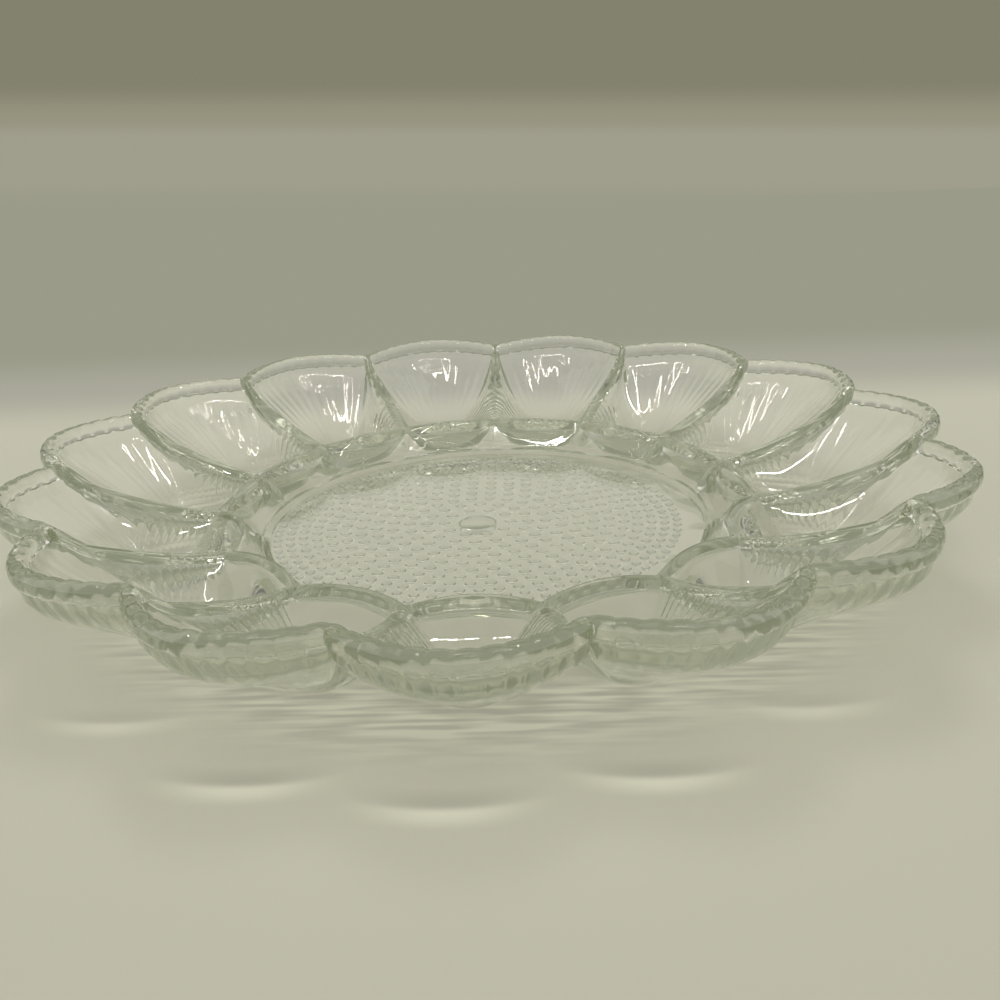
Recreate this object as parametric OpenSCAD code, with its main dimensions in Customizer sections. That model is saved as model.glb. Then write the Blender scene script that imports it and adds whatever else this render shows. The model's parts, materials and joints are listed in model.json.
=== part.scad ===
// Deviled egg platter in pressed glass: a hobnailed centre plate, a collar round it,
// and a ring of fluted egg wells with a rolled, scalloped lip.
// Origin: on the table under the middle of the platter, +Z up, one well towards -Y.

/* [Platter] */
// Diameter across the tips of the lip
platter_d = 280; // [262:1:310]
// Height from the table to the top of the lip
platter_h = 35; // [32:0.5:42]
// Number of egg wells
well_count = 15; // [14:1:16]

/* [Centre plate] */
// Radius of the centre plate
plate_r = 66.8; // [60:0.2:74]
// Height of the plate's smooth top
plate_top_z = 6.6; // [5.8:0.1:7.4]
// Thickness of the plate without its hobnails
plate_t = 3.6; // [3:0.1:4]
// Radius of the plain round boss in the middle of the underside
boss_r = 5.6; // [4:0.1:6]

/* [Collar] */
// Width of the collar, from the centre plate to its crest, where the wells end
collar_w = 9.2; // [8.4:0.1:10]
// Height of the collar's crest
collar_z = 16.4; // [15:0.1:17.5]
// Thickness of the collar at its crest
collar_t = 4.2; // [3.2:0.1:5]
// Height of the small step at the collar's inner edge
step_h = 2; // [1:0.1:2.6]
// Width of the small step at the collar's inner edge
step_w = 1.4; // [0.8:0.1:2.4]

/* [Lip] */
// Width of the rolled lip
lip_w = 4.6; // [3.4:0.1:6]
// Depth of the lip, from its top to where the flutes start
lip_h = 5.6; // [4:0.1:7]
// How far each notch between two wells cuts in from the tips
notch_depth = 12.1; // [8:0.1:14]
// How much lower the lip lies at a notch
notch_drop = 0.8; // [0:0.1:2]

/* [Egg wells] */
// Distance from the collar's crest to the lowest point of a well
well_inset = 14.5; // [12.5:0.5:16.5]
// Height of a well's floor above the table
floor_z = 4.4; // [3.8:0.1:6]
// How much higher than the collar's crest the ridge between two wells starts
ridge_rise = 0.2; // [0:0.1:1]
// How far below the top of the lip the ridge lies where it starts to climb to the notch
ridge_dip = 9.4; // [7:0.1:12]
// Length over which the ridge climbs to the notch
ridge_climb_w = 9; // [6:0.5:12]
// Thickness of the glass under a ridge
ridge_t = 4.3; // [3:0.1:5.5]

/* [Flutes] */
// Flutes under the lip of each well
lip_flutes = 12; // [8:1:14]
// Flutes under each side of a ridge
ridge_flutes = 4; // [2:1:6]
// Depth of the grooves between flutes
flute_depth = 0.9; // [0.3:0.1:1.4]

/* [Foot pads] */
// Radius of the hobnailed pad under each well
pad_r = 8.8; // [8.2:0.1:9.4]
// Height of the well's flat underside above the table
pad_top_z = 1.3; // [1.1:0.1:1.6]
// Thickness of the pad above its hobnails
pad_t = 0.5; // [0.3:0.1:0.6]
// Rings of hobnails on a pad, round the one in the middle
pad_rings = 3; // [2:1:3]
// Spacing of the hobnails on a pad
pad_pitch = 2.5; // [2.3:0.1:2.7]
// Width of a hobnail on a pad
pad_hob_w = 2.2; // [1.8:0.1:2.2]
// Height that wear has taken off the tips of the pad's hobnails
wear_h = 0.12; // [0.05:0.01:0.2]

/* [Hobnails] */
// Plain margin from the outermost ring of hobnails' centres to the plate's edge
hob_margin = 5.8; // [4:0.1:8]
// Distance from the boss to the innermost ring of hobnails' centres
hob_inset = 4; // [3:0.1:6]
// Rings of hobnails under the plate
hob_rings = 10; // [6:1:10]
// Spacing of the hobnails in the outermost ring
hob_pitch_outer = 5.1; // [4.9:0.1:7]
// Spacing of the hobnails in the inner rings
hob_pitch_inner = 6.6; // [6.2:0.1:8]
// Height of a hobnail
hob_h = 1; // [0.7:0.1:1.4]
// Gap left between neighbouring hobnails
hob_gap = 0.5; // [0.3:0.1:1]

/* [Hidden] */
two_digits = function (i) str(i < 10 ? "0" : "", i);
WELLS = [for (i = [1:well_count]) str("well_", two_digits(i))];
PADS = [for (i = [1:well_count]) str("foot_pad_", two_digits(i))];
$fn = 48;

glass = [0.80, 0.86, 0.82];
thick_glass = [0.66, 0.76, 0.69];

// Where the lip's outer face meets the flutes, as a share of its width outside the crest
lip_foot_share = 0.36;
// Where the round of the lip's crest ends inside, as shares of half its width and of its depth
lip_shoulder_w_share = 0.78;
lip_shoulder_h_share = 0.2;
// How far down the lip's inner face ends, along the lip and at a notch, as shares of its depth
lip_inner_share = 0.82;
notch_inner_share = 0.75;
// Share of a groove's depth that reaches the lip's outer face
bead_share = 0.35;
// Where the rings of a well's bowl and of its flank lie, as shares of the way out
bowl_shares = [0.36, 0.7];
flank_shares = [0.66, 0.33];
// How a bowl and a flank steepen, towards the lip and towards the sides
bowl_lip_power = 1.83;
bowl_side_power = 2.2;
flank_lip_power = 1.42;
flank_side_power = 1.6;
// Powers of the scallop's outline, of the ridge's slope, of its climb to a notch and of its
// flutes' spacing
scallop_power = 1.7;
slope_power = 1.5;
climb_power = 2;
ridge_spread_power = 1.2;
// Rounding on each side of a ridge and of a well's inner end
crest_round_w = 2;
crest_round_h = 1.3;
// Shares of a rounding's width and height at its shoulder
shoulder_w_share = 0.4;
shoulder_h_share = 0.2;
// Share of the glass's thickness at which an end face is divided
end_mid_share = 0.4;
// Segments across a well's inner end
end_steps = 6;
// How far a well's flat underside reaches past its pad
pad_margin = 0.4;
// Where the collar's inner slope turns into its crest, as a share of its width
collar_crest_share = 0.75;
// How far through the hobnail rings the spacing keeps growing
hob_grow_share = 0.45;
// How unevenly the rings of hobnails are spread
hob_bend_share = 0.14;
// Step used to find the lip's direction, as a share of half a scallop
lip_nudge_share = 0.01;

collar_r = plate_r + collar_w;
well_r = collar_r + well_inset;
hob_outer_r = plate_r - hob_margin;
hob_inner_r = boss_r + hob_inset;
ridge_low_z = collar_z + ridge_rise;
ridge_high_z = platter_h - ridge_dip;
half_pitch = 180 / well_count;
tip_r = platter_d / 2 - lip_w / 2;
notch_r = tip_r - notch_depth;
notch_z = platter_h - notch_drop;
climb_r = notch_r - ridge_climb_w;
lip_steps = 2 * lip_flutes;
ridge_steps = 2 * ridge_flutes + 1;
end_r = collar_r / cos(half_pitch / end_steps);
plate_under_z = plate_top_z - plate_t;
well_middle = [well_r, 0];

// Small helpers
function polar(r, a) = [r * cos(a), r * sin(a)];
function mix(a, b, t) = a + (b - a) * t;
function flat(p) = [p.x, p.y];
function raise(p, z) = [p.x, p.y, z];
function unit(v) = v / norm(v);

// Radius and height of the lip's crest, for u from -1 at one notch to 1 at the next
function lip_crest_r(u) = mix(tip_r, notch_r, pow(abs(u), scallop_power));
function lip_crest_z(u) = mix(platter_h, notch_z, u * u);
function lip_crest(u) = polar(lip_crest_r(u), u * half_pitch);

// Outward direction of the lip in plan; at a notch it is the mitre of the two lips that meet
function lip_normal(u) =
    let (low = max(-1, u - lip_nudge_share), high = min(1, u + lip_nudge_share),
        along = lip_crest(high) - lip_crest(low), n = unit([along.y, -along.x]),
        out = polar(1, u * half_pitch))
    abs(u) == 1 ? out / (out * n) : n;

// Height of a ridge's crest: a slope that steepens outwards and climbs to the notch at its end
function ridge_slope_z(r) =
    mix(ridge_low_z, ridge_high_z, pow((r - collar_r) / (climb_r - collar_r), slope_power));
function ridge_z(r) =
    mix(ridge_slope_z(r), notch_z, pow(max(0, (r - climb_r) / ridge_climb_w), climb_power));

// How much a direction from the well's middle points towards the lip, from 0 to 1
function lipwards(p) = max(0, unit(flat(p) - well_middle).x);

// One line over the glass, from the bowl over the crest and down the flank to the foot:
// crest is its highest point, inner the foot of the crest's inner rounding, edge and flute_top
// the points outside it, and groove how deep a groove runs down the flank there.
function section(crest, shoulder, inner, edge, flute_top, groove) =
    let (lipness = lipwards(crest),
        bowl_power = mix(bowl_side_power, bowl_lip_power, lipness),
        flank_power = mix(flank_side_power, flank_lip_power, lipness),
        foot = well_middle + (pad_r + pad_margin) * unit(flat(flute_top) - well_middle))
    concat(
        [for (s = bowl_shares)
            raise(mix(well_middle, flat(inner), s), mix(floor_z, inner.z, pow(s, bowl_power)))],
        [inner, shoulder, crest, edge, flute_top],
        [for (s = flank_shares)
            raise(mix(foot, flat(flute_top), s),
                mix(pad_top_z, flute_top.z, pow(s, flank_power)) + groove * sin(180 * s))],
        [raise(foot, pad_top_z)]);

// A line over the lip
function lip_section(i) =
    let (u = i / lip_flutes - 1, at = lip_crest(u), z = lip_crest_z(u), out = lip_normal(u),
        in = unit(well_middle - at), groove = i % 2 == 0 ? flute_depth : 0,
        inner_share = abs(u) == 1 ? notch_inner_share : lip_inner_share)
    section(raise(at, z),
        raise(at + in * lip_w / 2 * lip_shoulder_w_share, z - lip_h * lip_shoulder_h_share),
        raise(at + in * lip_w / 2, z - lip_h * inner_share),
        raise(at + out * (lip_w / 2 - groove * bead_share), z - lip_w / 2),
        raise(at + out * (lip_w * lip_foot_share - groove), z - lip_h),
        groove);

// A line over a crest whose outer side is a flat face, where this section meets the next
function faced_section(at, z, t, groove) =
    let (in = unit(well_middle - at), under = z - t + groove)
    section(raise(at, z),
        raise(at + in * crest_round_w * shoulder_w_share, z - crest_round_h * shoulder_h_share),
        raise(at + in * crest_round_w, z - crest_round_h),
        raise(at, mix(z, under, end_mid_share)),
        raise(at, under),
        groove);

// A line over the ridge on one side
function ridge_section(i, side) =
    let (r = mix(notch_r, end_r, pow(i / ridge_steps, ridge_spread_power)),
        groove = i % 2 == 0 ? flute_depth : 0)
    faced_section(polar(r, side * half_pitch), ridge_z(r), ridge_t, groove);

// A line over the well's inner end
function end_section(i) =
    faced_section(polar(end_r, half_pitch * (1 - 2 * i / end_steps)), collar_z, collar_t, 0);

// All lines of a well, anticlockwise from the notch on its right-hand side
SECTIONS = concat(
    [for (i = [0:lip_steps]) lip_section(i)],
    [for (i = [1:ridge_steps]) ridge_section(i, 1)],
    [for (i = [1:end_steps - 1]) end_section(i)],
    [for (i = [ridge_steps:-1:1]) ridge_section(i, -1)]);

// Skins a closed solid over sections that run from a top point round to a bottom point
module skin(sections, top, bottom) {
    n = len(sections);
    rings = len(sections[0]);
    last = n * rings + 1;
    at = function (ring, k) 1 + ring * n + k % n;
    mirrored = function (k) k >= lip_flutes && k < lip_flutes + n / 2;
    points = concat([top], [for (ring = [0:rings - 1]) for (s = sections) s[ring]], [bottom]);
    faces = concat(
        [for (k = [0:n - 1]) [0, at(0, k + 1), at(0, k)]],
        [for (ring = [0:rings - 2]) for (k = [0:n - 1])
            let (a = at(ring, k), b = at(ring, k + 1), c = at(ring + 1, k + 1), d = at(ring + 1, k))
            each mirrored(k) ? [[a, b, c], [a, c, d]] : [[a, b, d], [b, c, d]]],
        [for (k = [0:n - 1]) [at(rings - 1, k), at(rings - 1, k + 1), last]]);
    polyhedron(points, faces);
}

// Places its children in the sector of one well
module sector(i) {
    rotate(-90 + 2 * half_pitch * (i - 1)) children();
}

// A hobnail: the cap of a ball that swells downwards from the plane z = 0
module hobnail(base_r, h) {
    ball_r = (base_r * base_r + h * h) / (2 * h);
    intersection() {
        translate([0, 0, ball_r - h]) sphere(r = ball_r);
        translate([0, 0, -h]) cylinder(r = base_r + h, h = 2 * h);
    }
}

// One egg well: a fluted scoop of glass from the collar to the lip
module well(i) {
    color(glass) sector(i)
        skin(SECTIONS, raise(well_middle, floor_z), raise(well_middle, pad_top_z));
}

// The hobnailed pad under a well, worn flat where it stands on the table
module foot_pad(i) {
    hob_drop = pad_top_z - pad_t + wear_h;
    color(thick_glass) sector(i) translate(well_middle) intersection() {
        union() {
            translate([0, 0, pad_top_z - pad_t]) cylinder(r = pad_r, h = pad_t);
            for (ring = [0:pad_rings]) for (k = [0:max(0, 6 * ring - 1)])
                rotate(60 * k / max(1, ring)) translate([ring * pad_pitch, 0, pad_top_z - pad_t])
                    hobnail(pad_hob_w / 2, hob_drop);
        }
        cylinder(r = pad_r, h = pad_top_z);
    }
}

// The ring that joins the wells to the plate: a small step, a slope and a rounded crest
module collar_ring() {
    step_r = plate_r + step_w;
    color(glass) rotate_extrude()
        polygon([
            [plate_r, plate_under_z],
            [collar_r, collar_z - collar_t],
            [collar_r, collar_z],
            [mix(step_r, collar_r, collar_crest_share), collar_z - crest_round_h * shoulder_h_share],
            [step_r, plate_top_z + step_h],
            [plate_r, plate_top_z]]);
}

// The plate in the middle: smooth on top, rings of hobnails and a plain boss beneath
module centre_plate() {
    color(glass) union() {
        translate([0, 0, plate_under_z]) cylinder(r = plate_r, h = plate_t, $fn = 96);
        translate([0, 0, plate_under_z - hob_h]) cylinder(r = boss_r, h = hob_h);
        for (ring = [0:hob_rings - 1]) hobnail_ring(ring / (hob_rings - 1));
    }
}

// One ring of hobnails, for t from 0 at the outermost ring to 1 at the innermost
module hobnail_ring(t) {
    r = mix(hob_outer_r, hob_inner_r, mix(t, t * t, hob_bend_share));
    pitch = mix(hob_pitch_outer, hob_pitch_inner, min(1, t / hob_grow_share));
    count = floor(360 * r / (pitch * 180 / PI));
    ring_gap = (hob_outer_r - hob_inner_r) / (hob_rings - 1) * (1 - hob_bend_share);
    for (k = [0:count - 1]) rotate(360 * k / count) translate([r, 0, plate_under_z])
        hobnail((min(pitch, ring_gap) - hob_gap) / 2, hob_h);
}

centre_plate();
collar_ring();
for (i = [1:well_count]) well(i);
for (i = [1:well_count]) foot_pad(i);
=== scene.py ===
# %% [markdown]
# # A deviled egg platter in pressed glass
#
# The platter is one piece of clear glass, pressed in a mould: a flat centre plate with hobnails
# under it, a raised collar, and a ring of fluted wells for egg halves with a rolled, scalloped lip.
# The CAD model gives it as many sections that meet face to face. Each section could be given a glass
# material of its own, but glass bends light at every surface that it has, so the faces between the
# sections would show as cuts. Here the whole pressing becomes one closed skin instead, with no faces
# left inside it.

# %% Load the frame
import json
import math

import bmesh
import bpy
from mathutils import Matrix, Vector

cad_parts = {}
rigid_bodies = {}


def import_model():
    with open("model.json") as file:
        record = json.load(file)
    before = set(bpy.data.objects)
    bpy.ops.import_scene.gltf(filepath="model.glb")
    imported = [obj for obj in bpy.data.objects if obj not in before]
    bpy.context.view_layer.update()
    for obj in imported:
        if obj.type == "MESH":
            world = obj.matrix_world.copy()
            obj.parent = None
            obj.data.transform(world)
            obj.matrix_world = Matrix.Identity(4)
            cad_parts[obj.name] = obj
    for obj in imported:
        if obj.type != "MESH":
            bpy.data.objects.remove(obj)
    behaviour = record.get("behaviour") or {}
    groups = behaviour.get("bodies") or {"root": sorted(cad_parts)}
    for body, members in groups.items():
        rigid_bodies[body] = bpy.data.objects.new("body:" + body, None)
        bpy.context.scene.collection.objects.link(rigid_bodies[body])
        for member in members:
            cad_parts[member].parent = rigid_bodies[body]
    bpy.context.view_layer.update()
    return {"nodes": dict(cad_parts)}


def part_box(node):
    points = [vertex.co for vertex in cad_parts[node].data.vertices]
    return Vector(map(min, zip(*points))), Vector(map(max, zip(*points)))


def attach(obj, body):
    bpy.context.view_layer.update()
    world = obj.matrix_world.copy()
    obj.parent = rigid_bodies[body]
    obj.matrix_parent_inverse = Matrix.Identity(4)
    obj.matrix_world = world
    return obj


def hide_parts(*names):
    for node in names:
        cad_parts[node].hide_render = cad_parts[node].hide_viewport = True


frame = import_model()

# %% [markdown]
# ## Sizes from the frame
#
# The skin has to lie where the CAD model's glass lies. Its sizes could be typed in once more, but
# then the two would part as soon as one of them changed. So the plate, the collar, a well and its
# pad are measured on the CAD model. Lengths are in metres. The first well lies towards -Y, so the
# rim's radius is measured there.

# %% Sizes of the sections
plate_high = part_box("centre_plate")[1]
collar_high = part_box("collar_ring")[1]
well_low, well_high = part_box("well_01")
pad_low, pad_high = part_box("foot_pad_01")

WELLS = sum(name.startswith("well_") for name in frame["nodes"])
HALF_PITCH = math.pi / WELLS
PLATE_R, PLATE_TOP = plate_high.x, plate_high.z
COLLAR_R, COLLAR_Z = collar_high.x, collar_high.z
RIM_R, RIM_Z = -well_low.y, well_high.z
WELL_R = -(pad_low.y + pad_high.y) / 2
PAD_R, PAD_TOP = (pad_high.x - pad_low.x) / 2, pad_high.z
print(WELLS, "wells, rim radius", round(RIM_R, 4), "well radius", round(WELL_R, 4))

# %% [markdown]
# ## Lines over the glass
#
# A well is a smooth scoop above and has flutes beneath. It could be sculpted, or drawn over from a
# few curves, but its flutes have to meet the lip, the ridges and the collar without a seam. It is
# easier to think of it as a fan of lines that start at its lowest point and run up the bowl, over
# the crest and down the ribbed side to the foot. Each line follows from a few rules: the scallop of
# the lip, the slope of the ridge between two wells, and how the bowl and the ribbed side steepen
# towards the lip. The well is worked out along +X, and the finished one is turned to its place.

# %% Helpers for points
def mix(a, b, t):
    """From a at 0 to b at 1."""
    return a + (b - a) * t


def polar(r, angle):
    """A point in plan, at a radius and an angle from +X."""
    return Vector((r * math.cos(angle), r * math.sin(angle), 0))


def at_height(point, z):
    """The same place in plan, at height z."""
    return Vector((point.x, point.y, z))


MIDDLE = Vector((WELL_R, 0, 0))
print("half a pitch is", round(math.degrees(HALF_PITCH), 1), "degrees")

# %% The lip's scallop
LIP_R = 0.0023
NOTCH_DEPTH = 0.0121
NOTCH_DROP = 0.0008
SCALLOP_POWER = 1.7
CREST_R = RIM_R - LIP_R
NOTCH_R = CREST_R - NOTCH_DEPTH
NOTCH_Z = RIM_Z - NOTCH_DROP


def lip_crest(u):
    """The lip's crest, for u from -1 at one notch to 1 at the next."""
    point = polar(mix(CREST_R, NOTCH_R, abs(u) ** SCALLOP_POWER), u * HALF_PITCH)
    return at_height(point, mix(RIM_Z, NOTCH_Z, u * u))


def lip_outward(u):
    """The lip's outward direction in plan, mitred where two lips meet at a notch."""
    nudge = 0.01
    along = lip_crest(min(1, u + nudge)) - lip_crest(max(-1, u - nudge))
    outward = Vector((along.y, -along.x, 0)).normalized()
    radial = polar(1, u * HALF_PITCH)
    return radial / radial.dot(outward) if abs(u) == 1 else outward


print("the lip's crest lies", round(CREST_R, 4), "out, and a notch", round(NOTCH_R, 4))

# %% The crest of a well's inner end
END_RISE = 0.0008
CUSP_OUT, CUSP_DROP = 0.0045, 0.0006
END_POWER = 2.2
END_Z = COLLAR_Z + END_RISE
CUSP_R, CUSP_Z = COLLAR_R + CUSP_OUT, COLLAR_Z - CUSP_DROP


def end_crest(v):
    """The crest of a well's inner end, for v from -1 at one ridge to 1 at the other."""
    point = polar(mix(COLLAR_R, CUSP_R, abs(v) ** END_POWER), v * HALF_PITCH)
    return at_height(point, mix(END_Z, CUSP_Z, v * v))


print("an inner end is", round(END_Z, 4), "high, and the cusp between two is", round(CUSP_Z, 4))

# %% The ridge between two wells
RIDGE_DROP = 0.0094
RIDGE_POWER = 1.5
CLIMB_W = 0.009
RIDGE_HIGH_Z = RIM_Z - RIDGE_DROP
CLIMB_R = NOTCH_R - CLIMB_W


def climb_at(r):
    """0 along the ridge, rising to 1 at the notch."""
    return max(0, (r - CLIMB_R) / CLIMB_W) ** 2


def ridge_z(r):
    """The ridge's height: it slopes up from the cusp and climbs to the notch at its end."""
    share = (r - CUSP_R) / (CLIMB_R - CUSP_R)
    slope = mix(CUSP_Z, RIDGE_HIGH_Z, max(0, share) ** RIDGE_POWER)
    return mix(slope, NOTCH_Z, climb_at(r))


print("a ridge climbs from", round(ridge_z(CUSP_R), 4), "to", round(ridge_z(NOTCH_R), 4))

# %% How the bowl and the ribbed side steepen towards the lip
def steepening(share, soft, slope, power):
    """0 to 1 over a share from 0 to 1: flat at first, then nearly straight, then steep at the end."""
    straight = slope * (math.hypot(share, soft) - soft)
    return straight + (1 - slope * (math.hypot(1, soft) - soft)) * share**power


def lip_bowl(share):
    """The bowl's rise towards the lip."""
    return steepening(share, soft=0.25, slope=1.128, power=28)


def lip_side(share):
    """The ribbed side's rise towards the lip."""
    return steepening(share, soft=0.122, slope=0.987, power=14.8)


def lipness(direction):
    """1 for a line towards the lip, falling smoothly to 0 for one towards the collar."""
    return ((1 + math.cos(direction)) / 2) ** 2


print("halfway out, the bowl has risen", round(lip_bowl(0.5), 2), "and the side", round(lip_side(0.5), 2))

# %% [markdown]
# ## The lines of one well
#
# A rib takes four steps from groove to groove, enough to look round where light bends through it.
# The lines at the lip, at the two ridges and at the inner end differ in their crest, in how round
# it is and in how thick the glass is there, so each kind has a function that notes these down. The
# four runs of lines then go once round the well.

# %% Ribs and grooves
LIP_RIBS = 12
RIDGE_RIBS = 12
STEPS = 4
END_STEPS = 14
GROOVE_POWER = 3
LIP_LINES = set(range(LIP_RIBS * STEPS + 1))
FIRST_END = (LIP_RIBS + RIDGE_RIBS) * STEPS
END_LINES = set(range(FIRST_END, FIRST_END + END_STEPS + 1))


def groove_at(step):
    """0 in the middle of a rib, 1 in the groove beside it."""
    return (2 * abs((step / STEPS) % 1 - 0.5)) ** GROOVE_POWER


print(LIP_RIBS + 2 * RIDGE_RIBS, "ribs to a well")

# %% Lines over the lip
LIP_H = 0.0056
BEAD = 0.0004
LIP_ROUND_R, NOTCH_ROUND_R = 0.0024, 0.0021
LIP_TURN, NOTCH_TURN = math.radians(95), math.radians(80)
GROOVE_MIDDLE, GROOVE_NOTCH = 0.55, 1.4
NOTCH_POWER = 12


def lip_line(step):
    """A line over the lip, which is more deeply ribbed and less round near its notches."""
    u = 2 * step / (LIP_RIBS * STEPS) - 1
    groove, near_notch = groove_at(step), abs(u) ** NOTCH_POWER
    return {"crest": lip_crest(u) - Vector((0, 0, BEAD * groove)), "outward": lip_outward(u),
            "groove": groove * mix(GROOVE_MIDDLE, GROOVE_NOTCH, u * u),
            "round_r": mix(LIP_ROUND_R, NOTCH_ROUND_R, near_notch), "thickness": LIP_H,
            "turn": mix(LIP_TURN, NOTCH_TURN, near_notch), "near_notch": near_notch, "v": 0}


print("beads on the lip stand", BEAD, "proud")

# %% Lines over a ridge
RIDGE_T = 0.0037
RIDGE_ROUND_R = 0.0044
END_ROUND_R = 0.006
NEAR_END_FROM = 0.8
NOTCH_DIRECTION = (polar(NOTCH_R, HALF_PITCH) - MIDDLE).angle(Vector((1, 0, 0)))
CUSP_DIRECTION = (polar(CUSP_R, HALF_PITCH) - MIDDLE).angle(Vector((1, 0, 0)))


def ridge_line(step, side_of_well):
    """A line over a ridge, for steps from the notch at 0 to the cusp."""
    share = step / (RIDGE_RIBS * STEPS)
    direction = mix(NOTCH_DIRECTION, CUSP_DIRECTION, share)
    r = WELL_R * math.sin(direction) / math.sin(direction - HALF_PITCH)
    near_notch = climb_at(r) ** 0.5
    near_end = max(0, (share - NEAR_END_FROM) / (1 - NEAR_END_FROM))
    round_r = mix(mix(RIDGE_ROUND_R, END_ROUND_R, near_end), NOTCH_ROUND_R, near_notch)
    return {"crest": at_height(polar(r, side_of_well * HALF_PITCH), ridge_z(r)), "outward": None,
            "groove": groove_at(step) * (1 - near_end), "round_r": round_r,
            "thickness": mix(RIDGE_T, LIP_H, near_notch**2),
            "turn": None, "near_notch": near_notch, "v": side_of_well}


print("a ridge runs from", round(math.degrees(NOTCH_DIRECTION)), "to",
      round(math.degrees(CUSP_DIRECTION)), "degrees round the well")

# %% Lines over the inner end, and all lines in order
COLLAR_T = 0.0042


def end_line(step):
    """A line over the well's inner end, which has no ribs."""
    v = 1 - 2 * step / END_STEPS
    return {"crest": end_crest(v), "outward": None, "groove": 0, "round_r": END_ROUND_R,
            "thickness": COLLAR_T, "turn": None, "near_notch": 0, "v": v}


def on_lip(line):
    """True for the lines that run over the lip."""
    return line["outward"] is not None


lines = [lip_line(step) for step in range(LIP_RIBS * STEPS + 1)]
lines += [ridge_line(step, 1) for step in range(1, RIDGE_RIBS * STEPS + 1)]
lines += [end_line(step) for step in range(1, END_STEPS)]
lines += [ridge_line(step, -1) for step in range(RIDGE_RIBS * STEPS, 0, -1)]
print(len(lines), "lines to a well")

# %% [markdown]
# ## Points along a line
#
# In the bowl a line leaves its lowest point level and ends where the round of the crest starts. A
# bevel on a sharp crest would be the usual way to a round one, but it would cut across the ribs. So
# the round is worked out as an arc, and at a ridge or an inner end it turns just as far as the bowl
# is steep there. That leaves no kink for the glass to mirror. The bowl's lowest point lies further
# out than the pad's middle, where the reflections on the real glass place it.

# %% Points over the bowl
BOWL_SHIFT = 0.0055
BOWL_MIDDLE = Vector((WELL_R + BOWL_SHIFT, 0, 0))
FLOOR_Z = 0.0044
BACK_POWER, FRONT_POWER = 2, 1.65


def rise_at(direction, share):
    """How much of the bowl's height is reached at a share of the way from its lowest point."""
    power = mix(BACK_POWER, FRONT_POWER, lipness(direction + math.pi))
    return mix(share**power, lip_bowl(share), lipness(direction))


def rounding(line, share):
    """A point on the round inside of a crest, from the crest at 0 to the bowl's edge at 1."""
    crest, r, turn = line["crest"], line["round_r"], line["turn"] * share
    inward = (BOWL_MIDDLE - at_height(crest, 0)).normalized()
    return at_height(crest + inward * r * math.sin(turn), crest.z - r * (1 - math.cos(turn)))


def bowl(line, share):
    """A point on the bowl, from its lowest point at 0 to the edge of the crest's round at 1."""
    edge = rounding(line, 1)
    direction = math.atan2(edge.y, edge.x - BOWL_MIDDLE.x)
    return at_height(mix(BOWL_MIDDLE, edge, share), mix(FLOOR_Z, edge.z, rise_at(direction, share)))


print("the bowl's floor is", FLOOR_Z, "high and", round(FLOOR_Z - PAD_TOP, 4), "thick over its pad")

# %% Turn each crest's round as far as the bowl is steep
FIRST_TURN = math.radians(50)
TRIES = 6
LAST_SHARE = 0.03


def fitted_turn(line):
    """The turn at which the round of a crest meets the bowl without a kink, found in a few tries."""
    line["turn"] = FIRST_TURN
    for again in range(TRIES):
        reach = rounding(line, 1) - BOWL_MIDDLE
        direction = math.atan2(reach.y, reach.x)
        rise = (1 - rise_at(direction, 1 - LAST_SHARE)) * (reach.z - FLOOR_Z)
        line["turn"] = math.atan(rise / (LAST_SHARE * math.hypot(reach.x, reach.y)))
    return mix(line["turn"], NOTCH_TURN, line["near_notch"])


for line in lines:
    if not on_lip(line):
        line["turn"] = fitted_turn(line)
end_turn = lines[FIRST_END + END_STEPS // 2]["turn"]
print("an inner end's round turns", round(math.degrees(end_turn)), "degrees")

# %% Where the ribbed side ends, and how it rises
FOOT_BORDER = 0.0004
FOOT_R = PAD_R + FOOT_BORDER
LIP_FOOT = 0.3
SIDE_POWER = 1.6
LEVEL_FROM = 0.8
LEVEL_RUN = SIDE_POWER * LEVEL_FROM ** (SIDE_POWER - 1) * (1 - LEVEL_FROM)


def side_top(line):
    """Where the ribbed side ends, under the lip, the ridge or the collar."""
    top = at_height(line["crest"], line["crest"].z - line["thickness"])
    return top + line["outward"] * LIP_R * LIP_FOOT if on_lip(line) else top


def ridge_side(share):
    """Steepens outwards and then rounds off to lie level under the ridge."""
    rise = max(share, 0) ** SIDE_POWER
    if share > LEVEL_FROM:
        t = (share - LEVEL_FROM) / (1 - LEVEL_FROM)
        rise = LEVEL_FROM**SIDE_POWER + LEVEL_RUN * (t - t * t / 2)
    return rise / (LEVEL_FROM**SIDE_POWER + LEVEL_RUN / 2)


print("the side runs from radius", round(FOOT_R, 4), "at the foot up to", round(side_top(lines[0]).z, 4))

# %% Points down the ribbed side
RIB_DEPTH = 0.000704
LIP_FADE, RIDGE_FADE = 1.7, 1.6
LIP_EASE, EASE_POWER = 0.75, 8
SLOPE_STEP = 0.02
TOP_POWER = 6


def rib_strength(line, share):
    """How deep the ribs are along a line: they fade out on the way down to the foot."""
    if on_lip(line):
        return share**LIP_FADE * (1 - LIP_EASE * share**EASE_POWER)
    return share**RIDGE_FADE


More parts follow.
